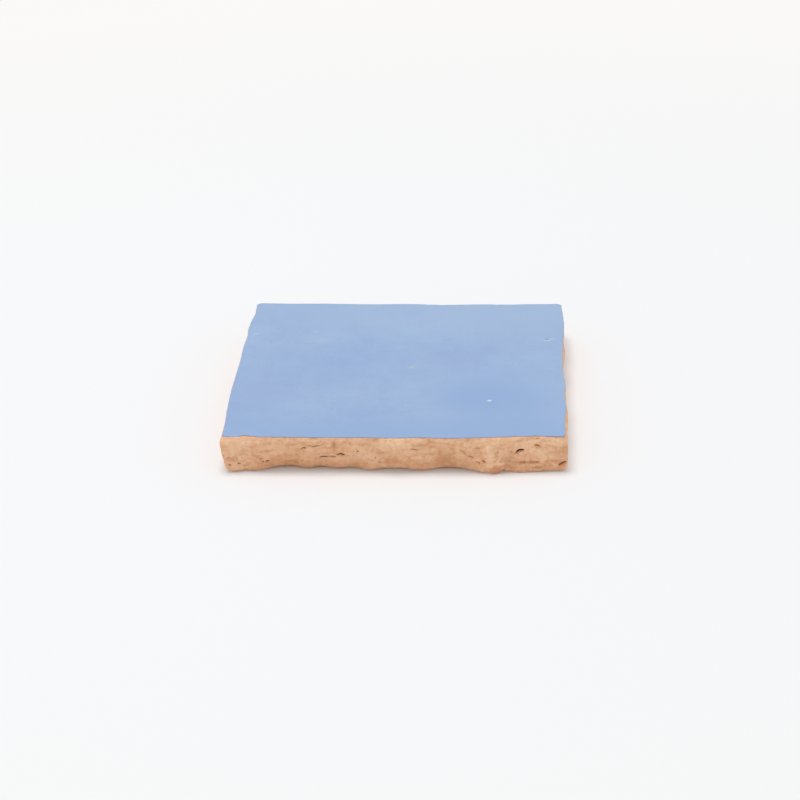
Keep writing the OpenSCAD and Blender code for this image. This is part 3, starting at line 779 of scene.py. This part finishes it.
def make_mottle():
    """Cloudy patches of a chosen size, stretched along the tile or not, from 0 to 1."""
    group = bpy.data.node_groups.new("mottle", "ShaderNodeTree")
    group.interface.new_socket("Stretch", in_out="INPUT", socket_type="NodeSocketVector")
    group.interface.new_socket("Scale", in_out="INPUT", socket_type="NodeSocketFloat")
    group.interface.new_socket("Low", in_out="INPUT", socket_type="NodeSocketFloat")
    group.interface.new_socket("High", in_out="INPUT", socket_type="NodeSocketFloat")
    group.interface.new_socket("Mask", in_out="OUTPUT", socket_type="NodeSocketFloat")
    n = Nodes(group)
    inside = n.add("NodeGroupInput").outputs
    cloud = n.add("ShaderNodeTexNoise", {"Vector": n.stretched(inside["Stretch"]),
                                         "Scale": inside["Scale"], "Detail": 5.0,
                                         "Roughness": 0.55}).outputs["Fac"]
    n.add("NodeGroupOutput", {"Mask": n.spread(cloud, inside["Low"], inside["High"])})
    return group


def make_flecks():
    """Scattered round flecks of a chosen size: a mask that is 1 on them."""
    group = bpy.data.node_groups.new("flecks", "ShaderNodeTree")
    group.interface.new_socket("Scale", in_out="INPUT", socket_type="NodeSocketFloat")
    group.interface.new_socket("Size", in_out="INPUT", socket_type="NodeSocketFloat")
    group.interface.new_socket("Share", in_out="INPUT", socket_type="NodeSocketFloat")
    group.interface.new_socket("Mask", in_out="OUTPUT", socket_type="NodeSocketFloat")
    n = Nodes(group)
    inside = n.add("NodeGroupInput").outputs
    cells = n.add("ShaderNodeTexVoronoi", {"Vector": n.place(), "Scale": inside["Scale"]}).outputs
    dot = n.math("LESS_THAN", cells["Distance"], inside["Size"])
    draw = n.add("ShaderNodeSeparateColor", {0: cells["Color"]}).outputs[0]
    chosen = n.math("LESS_THAN", draw, inside["Share"])
    n.add("NodeGroupOutput", {"Mask": n.math("MULTIPLY", dot, chosen)})
    return group


def make_hairlines():
    """Fine winding lines of a chosen size and width, in patches: a mask that is 1 on them."""
    group = bpy.data.node_groups.new("hairlines", "ShaderNodeTree")
    group.interface.new_socket("Stretch", in_out="INPUT", socket_type="NodeSocketVector")
    group.interface.new_socket("Scale", in_out="INPUT", socket_type="NodeSocketFloat")
    group.interface.new_socket("Width", in_out="INPUT", socket_type="NodeSocketFloat")
    group.interface.new_socket("Mask", in_out="OUTPUT", socket_type="NodeSocketFloat")
    n = Nodes(group)
    inside = n.add("NodeGroupInput").outputs
    cloud = n.add("ShaderNodeTexNoise", {"Vector": n.stretched(inside["Stretch"]),
                                         "Scale": inside["Scale"], "Detail": 2.0,
                                         "Roughness": 0.5}).outputs["Fac"]
    off = n.math("ABSOLUTE", n.math("SUBTRACT", cloud, 0.5))
    line = n.spread(off, 0.0, inside["Width"], 1.0, 0.0)
    area = n.add("ShaderNodeTexNoise", {"Vector": n.place(), "Scale": 310.0,
                                        "Detail": 1.0}).outputs["Fac"]
    n.add("NodeGroupOutput", {"Mask": n.math("MULTIPLY", line, n.spread(area, 0.5, 0.6))})
    return group


MOTTLE = make_mottle()
FLECKS = make_flecks()
HAIRLINES = make_hairlines()


def mottle(n, scale, low=0.35, high=0.65, stretch=(1, 1, 1)):
    return n.add("ShaderNodeGroup", {"Stretch": stretch, "Scale": scale, "Low": low, "High": high},
                 node_tree=MOTTLE).outputs["Mask"]


def flecks(n, scale, size, share):
    return n.add("ShaderNodeGroup", {"Scale": scale, "Size": size, "Share": share},
                 node_tree=FLECKS).outputs["Mask"]


def hairlines(n, scale, width, stretch=(1, 1, 1)):
    return n.add("ShaderNodeGroup", {"Stretch": stretch, "Scale": scale, "Width": width},
                 node_tree=HAIRLINES).outputs["Mask"]


def shaded(n, colour, mask, strength, over):
    """A colour laid over another where a mask is, at a strength."""
    return n.mix(n.math("MINIMUM", n.math("MULTIPLY", mask, strength), 1.0), colour, over)


def new_finish(name):
    material = bpy.data.materials.new(name)
    material.use_nodes = True
    return material, Nodes(material.node_tree), material.node_tree.nodes["Principled BSDF"]


def link(n, a, b):
    n.tree.links.new(a, b)


def clay_finish():
    """Bare fired clay: mottled peach to tan, drawn along by the chisel, with patches and flecks,
    painted shade in its cracks, its scoops and towards its foot, and painted highlights on a ridge, a
    bulge and along the foot.
    """
    material, n, shader = new_finish("fired clay")
    clouds = mottle(n, 130.0, 0.3, 0.7)
    drawn = mottle(n, 420.0, 0.3, 0.7, (1, 1, 3.2))
    fine = mottle(n, 1500.0, 0.34, 0.66, (1, 1, 1.6))
    tone = n.math("ADD", n.math("MULTIPLY", clouds, 0.4),
                  n.math("ADD", n.math("MULTIPLY", drawn, 0.33), n.math("MULTIPLY", fine, 0.27)))
    # The tone mask carries painted shade towards the foot and in cut marks, and painted light on proud
    # marks
    tone = n.math("ADD", n.math("MULTIPLY", tone, 0.58), n.math("MULTIPLY", n.mask("tone"), 0.42))
    colour = n.ramp(tone, ((0.15, rgb(212, 154, 113)), (0.42, rgb(238, 185, 144)),
                           (0.6, rgb(248, 200, 160)), (0.88, rgb(255, 216, 179))))
    # Painted shade: the undercut foot of the bites darker and more orange
    colour = shaded(n, colour, n.mask("bite"), 0.7, rgb(210, 152, 110))
    colour = shaded(n, colour, mottle(n, 260.0, 0.54, 0.7, (1, 1, 1.5)), 0.4, rgb(222, 156, 108))
    colour = shaded(n, colour, mottle(n, 480.0, 0.52, 0.68), 0.3, rgb(236, 178, 152))
    colour = shaded(n, colour, mottle(n, 590.0, 0.52, 0.68), 0.3, rgb(240, 196, 140))
    colour = shaded(n, colour, mottle(n, 900.0, 0.54, 0.7), 0.4, rgb(212, 144, 100))
    colour = shaded(n, colour, hairlines(n, 380.0, 0.02, (1, 1, 1.7)), 0.22, rgb(176, 118, 82))
    colour = shaded(n, colour, hairlines(n, 560.0, 0.025), 0.25, rgb(255, 226, 196))
    colour = shaded(n, colour, flecks(n, 900.0, 0.2, 0.06), 0.35, rgb(244, 220, 194))
    colour = shaded(n, colour, flecks(n, 1000.0, 0.2, 0.05), 0.4, rgb(166, 110, 76))
    # Paler clay, and painted highlights on the ridge, the bulge and along the foot
    colour = shaded(n, colour, n.mask("pale"), 1.0, rgb(255, 222, 194))
    colour = shaded(n, colour, n.mask("fresh"), 0.85, rgb(236, 148, 88))
    # Brown stains, and painted shade beside the ridge and in the scoops
    colour = shaded(n, colour, n.mask("stain_and_shade"), 0.9, rgb(158, 104, 74))
    # Cracks: a rusty border, and a thin core of painted shade that darkens with the crack's strength
    across = n.math("ABSOLUTE", n.mask("across"))
    border = n.spread(across, 0.6, 3.2, 1.0, 0.0)
    core = n.spread(across, 0.45, 1.25, 1.0, 0.0, interpolation_type="SMOOTHSTEP")
    crack = n.mask("crack")
    colour = shaded(n, colour, n.math("MULTIPLY", border, crack), 0.35, rgb(186, 116, 72))
    deep = n.ramp(n.math("MULTIPLY", crack, 0.7),
                  ((0.25, rgb(164, 106, 70)), (0.6, rgb(108, 64, 44)), (0.9, rgb(24, 12, 8))))
    colour = shaded(n, colour, n.math("MULTIPLY", core, crack), 1.3, deep)
    link(n, colour, shader.inputs["Base Color"])
    link(n, n.ramp(fine, ((0.0, grey(0.78)), (1.0, grey(0.95)))), shader.inputs["Roughness"])
    shader.inputs["Specular IOR Level"].default_value = 0.25
    height = n.math("ADD", n.math("MULTIPLY", drawn, 0.5), n.math("MULTIPLY", fine, 0.5))
    bump = n.add("ShaderNodeBump", {"Height": height, "Strength": 0.45, "Distance": 0.0003})
    link(n, bump.outputs["Normal"], shader.inputs["Normal"])
    return material


def glaze_finish():
    """Pale blue satin glaze: slightly pooled in colour, fine grained, thin and pinkish at its edge,
    where painted shade dims it, with painted highlights and shade on its bumps and dents.
    """
    material, n, shader = new_finish("pale blue glaze")
    pools = mottle(n, 28.0, 0.3, 0.7)
    cloud = mottle(n, 160.0, 0.3, 0.7)
    fine = mottle(n, 1500.0, 0.3, 0.7)
    tone = n.math("ADD", n.math("MULTIPLY", pools, 0.4),
                  n.math("ADD", n.math("MULTIPLY", cloud, 0.25), n.math("MULTIPLY", fine, 0.35)))
    colour = n.ramp(tone, ((0.2, rgb(132, 159, 202)), (0.5, rgb(141, 168, 206)),
                           (0.8, rgb(150, 177, 210))))
    deep = n.math("MINIMUM", n.math("MAXIMUM", n.mask("pool"), 0.0), 1.0)
    thin = n.math("MINIMUM", n.math("MAXIMUM", n.math("MULTIPLY", n.mask("pool"), -1.0), 0.0), 1.0)
    colour = n.mix(deep, colour, rgb(131, 161, 204))
    colour = n.mix(thin, colour, rgb(147, 172, 207))
    colour = n.mix(n.math("MULTIPLY", flecks(n, 240.0, 0.1, 0.05), 0.25), colour, rgb(176, 196, 224))
    # The thin melted edge: a lavender tint, partly painted shade that dims its bright reflection
    colour = n.mix(n.math("MULTIPLY", n.mask("rim"), 0.5), colour, rgb(150, 152, 184))
    colour = n.mix(n.mask("warm"), colour, rgb(205, 190, 160))
    # Painted shade in the dents and pits
    colour = n.mix(n.mask("dent_shade"), colour, rgb(70, 84, 110))
    # Painted highlights on the bumps and pits
    colour = n.mix(n.mask("pale"), colour, rgb(250, 250, 250))
    link(n, colour, shader.inputs["Base Color"])
    satin = n.math("ADD", n.math("MULTIPLY", cloud, 0.6), n.math("MULTIPLY", fine, 0.4))
    link(n, n.ramp(satin, ((0.0, grey(0.36)), (1.0, grey(0.46)))), shader.inputs["Roughness"])
    shader.inputs["Specular IOR Level"].default_value = 0.5
    height = n.math("ADD", n.math("MULTIPLY", cloud, 0.7), n.math("MULTIPLY", fine, 0.3))
    bump = n.add("ShaderNodeBump", {"Height": height, "Strength": 0.2, "Distance": 0.0001})
    link(n, bump.outputs["Normal"], shader.inputs["Normal"])
    return material


def seen_directly(n):
    """1 for what the camera sees itself, or in a gloss or through glass, and 0 for the light itself."""
    rays = n.add("ShaderNodeLightPath").outputs
    return n.math("MAXIMUM", n.math("MAXIMUM", rays["Is Camera Ray"], rays["Is Glossy Ray"]),
                  rays["Is Transmission Ray"])


def floor_finish():
    """A pale floor that keeps the tile's shadow, and is seen a little paler than it is lit."""
    material, n, shader = new_finish("pale floor")
    shader.inputs["Base Color"].default_value = (0.856, 0.868, 0.888, 1)
    shader.inputs["Roughness"].default_value = 0.9
    shader.inputs["Specular IOR Level"].default_value = 0.1
    glow = n.add("ShaderNodeEmission", {"Color": (0.97, 0.96, 0.946, 1), "Strength": 1.0})
    far = n.add("ShaderNodeVectorMath", {0: n.place()}, operation="LENGTH").outputs["Value"]
    # Next to the tile it is seen nearly as it is lit, and further off nearly at its own paleness
    share = n.spread(far, 0.1, 0.45, 0.15, 0.9)
    both = n.add("ShaderNodeMixShader", {0: n.math("MULTIPLY", seen_directly(n), share)})
    link(n, shader.outputs[0], both.inputs[1])
    link(n, glow.outputs[0], both.inputs[2])
    link(n, both.outputs[0], material.node_tree.nodes["Material Output"].inputs["Surface"])
    return material


# ---- stage, light and camera ----

def make_stage():
    mesh = bpy.data.meshes.new("floor")
    corners = [(x * FLOOR_REACH, y * FLOOR_REACH, -FLOOR_DROP)
               for x, y in ((-1, -1), (1, -1), (1, 1), (-1, 1))]
    mesh.from_pydata(corners, [], [(0, 1, 2, 3)])
    floor = bpy.data.objects.new("floor", mesh)
    bpy.context.scene.collection.objects.link(floor)
    mesh.materials.append(floor_finish())

    world = bpy.data.worlds.new("studio")
    bpy.context.scene.world = world
    world.use_nodes = True
    n = Nodes(world.node_tree)
    background = world.node_tree.nodes["Background"]
    background.inputs["Color"].default_value = (1, 1, 1, 1)
    # The sky lights the tile plainly, and is seen nearly white
    seen = n.math("MULTIPLY", seen_directly(n), SKY_SEEN - SKY_LIGHT)
    link(n, n.math("ADD", seen, SKY_LIGHT), background.inputs["Strength"])

    lamp = bpy.data.lights.new("soft box", "AREA")
    lamp.shape, lamp.size, lamp.energy = "SQUARE", BOX_SIZE, BOX_POWER
    box = bpy.data.objects.new("soft box", lamp)
    bpy.context.scene.collection.objects.link(box)
    place = Vector(BOX_PLACE)
    box.location = place
    box.rotation_euler = (-place).to_track_quat("-Z", "Y").to_euler()


def make_camera():
    """The camera that sees the tile as the photo does."""
    camera = bpy.data.cameras.new("camera")
    camera.sensor_width = 36.0
    camera.lens = LENS
    camera.clip_end = 20.0
    item = bpy.data.objects.new("camera", camera)
    bpy.context.scene.collection.objects.link(item)
    lift, swing, roll = np.radians(LIFT_SWING_ROLL)
    ahead = Vector((np.sin(swing) * np.cos(lift), np.cos(swing) * np.cos(lift), -np.sin(lift)))
    level = Vector((np.cos(swing), -np.sin(swing), 0))
    upright = level.cross(ahead)
    right = level * np.cos(roll) + upright * np.sin(roll)
    up = -level * np.sin(roll) + upright * np.cos(roll)
    eye = Vector(LOOKS_AT) * MM - ahead * STANDS_OFF * MM
    item.matrix_world = Matrix(((right.x, up.x, -ahead.x, eye.x), (right.y, up.y, -ahead.y, eye.y),
                                (right.z, up.z, -ahead.z, eye.z), (0, 0, 0, 1)))
    bpy.context.scene.camera = item


make_camera()
make_stage()

clay = make_clay()
clay.data.materials.append(clay_finish())
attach(clay, "root")
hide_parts("clay_body")

glaze = make_glaze()
glaze.data.materials.append(glaze_finish())
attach(glaze, "root")
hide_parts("glaze")

bpy.context.scene.view_settings.view_transform = "Standard"
